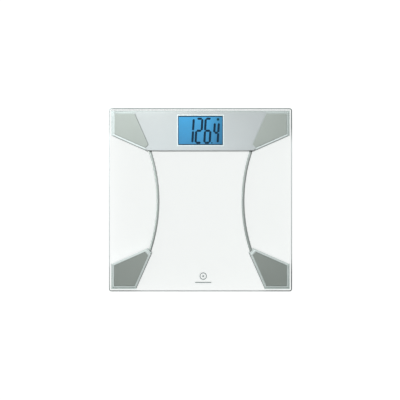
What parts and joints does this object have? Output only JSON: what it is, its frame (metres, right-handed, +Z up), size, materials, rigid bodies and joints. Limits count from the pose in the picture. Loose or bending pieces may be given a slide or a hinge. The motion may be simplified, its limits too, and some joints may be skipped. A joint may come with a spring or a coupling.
{
  "type": "bathroom scale",
  "caption": "Square clear-glass digital bathroom scale: corner pods on sprung feet, silver display housing with blue backlit LCD, curved cable tubes, battery bay below.",
  "frame": {"origin": "floor level under the centre of the square glass platform", "axes": "+X right, +Y toward the display (toe) edge, +Z up; the reader stands facing +Y"},
  "size_m": [0.305, 0.305, 0.025],
  "materials": {
    "clear_glass": "clear tempered float glass, polished, faint green edge",
    "pad_grey": "grey bonding pad seen through the glass",
    "silver_fascia": "satin silver paint",
    "housing_plastic": "light grey moulded plastic",
    "cover_plastic": "light grey moulded plastic, fine texture",
    "tube_grey": "satin grey tube",
    "cable_sheath": "black sheathed flex",
    "cell_steel": "plated spring steel with strain gauge",
    "foot_plastic": "light grey moulded plastic",
    "sole_rubber": "black rubber",
    "button_grey": "mid grey plastic",
    "lcd_glass": "blue liquid-crystal cell",
    "frame_white": "white plastic",
    "light_guide": "clear acrylic, edge lit blue",
    "zebra_rubber": "striped elastomer connector",
    "board_green": "green solder mask",
    "epoxy_black": "black epoxy",
    "switch_metal": "small tinned switch",
    "battery_wrap": "plain wrapped steel can",
    "contact_metal": "nickel-plated spring strip",
    "screw_steel": "zinc-plated steel"
  },
  "bodies": {
    "scale": {"glass_platform": "clear_glass", "bond_pad_toe_left": "pad_grey", "bond_pad_toe_right": "pad_grey", "bond_pad_heel_left": "pad_grey", "bond_pad_heel_right": "pad_grey", "display_fascia": "silver_fascia", "display_housing": "housing_plastic", "heel_pod_left": "housing_plastic", "heel_pod_right": "housing_plastic", "back_cover": "cover_plastic", "heel_cover_left": "cover_plastic", "heel_cover_right": "cover_plastic", "cable_tube_left": "tube_grey", "cable_tube_right": "tube_grey", "sensor_cable_toe_left": "cable_sheath", "sensor_cable_toe_right": "cable_sheath", "sensor_cable_heel_left": "cable_sheath", "sensor_cable_heel_right": "cable_sheath", "load_cell_toe_left": "cell_steel", "load_cell_toe_right": "cell_steel", "load_cell_heel_left": "cell_steel", "load_cell_heel_right": "cell_steel", "lcd_panel": "lcd_glass", "lcd_frame": "frame_white", "backlight_guide": "light_guide", "zebra_strip": "zebra_rubber", "main_board": "board_green", "controller_chip": "epoxy_black", "unit_switch": "switch_metal", "battery_1": "battery_wrap", "battery_2": "battery_wrap", "battery_3": "battery_wrap", "battery_4": "battery_wrap", "contact_positive": "contact_metal", "contact_link_1": "contact_metal", "contact_link_2": "contact_metal", "contact_link_3": "contact_metal", "contact_negative": "contact_metal", "back_cover_screw_1": "screw_steel", "back_cover_screw_2": "screw_steel", "back_cover_screw_3": "screw_steel", "back_cover_screw_4": "screw_steel", "back_cover_screw_5": "screw_steel", "back_cover_screw_6": "screw_steel", "heel_cover_screw_left_1": "screw_steel", "heel_cover_screw_left_2": "screw_steel", "heel_cover_screw_right_1": "screw_steel", "heel_cover_screw_right_2": "screw_steel"},
    "foot_toe_left": {"foot_cap_toe_left": "foot_plastic", "foot_sole_toe_left": "sole_rubber"},
    "foot_toe_right": {"foot_cap_toe_right": "foot_plastic", "foot_sole_toe_right": "sole_rubber"},
    "foot_heel_left": {"foot_cap_heel_left": "foot_plastic", "foot_sole_heel_left": "sole_rubber"},
    "foot_heel_right": {"foot_cap_heel_right": "foot_plastic", "foot_sole_heel_right": "sole_rubber"},
    "door": {"battery_door": "cover_plastic"},
    "button": {"unit_button": "button_grey"}
  },
  "joints": [
    {"name": "foot_toe_left_travel", "type": "slide", "parent": "scale", "child": "foot_toe_left", "axis": [0, 0, 1], "range_m": [0, 0.0006], "stiffness_N_per_m": 2500, "springref_m": -0.005},
    {"name": "foot_toe_right_travel", "type": "slide", "parent": "scale", "child": "foot_toe_right", "axis": [0, 0, 1], "range_m": [0, 0.0006], "stiffness_N_per_m": 2500, "springref_m": -0.005},
    {"name": "foot_heel_left_travel", "type": "slide", "parent": "scale", "child": "foot_heel_left", "axis": [0, 0, 1], "range_m": [0, 0.0006], "stiffness_N_per_m": 2500, "springref_m": -0.005},
    {"name": "foot_heel_right_travel", "type": "slide", "parent": "scale", "child": "foot_heel_right", "axis": [0, 0, 1], "range_m": [0, 0.0006], "stiffness_N_per_m": 2500, "springref_m": -0.005},
    {"name": "battery_door_hinge", "type": "hinge", "parent": "scale", "child": "door", "pos_m": [0.0722, 0.1392, 0.0053], "axis": [1, 0, 0], "range_deg": [0, 95]},
    {"name": "unit_button_press", "type": "slide", "parent": "scale", "child": "button", "axis": [0, 0, 1], "range_m": [0, 0.0008], "stiffness_N_per_m": 400, "springref_m": -0.0005}
  ]
}
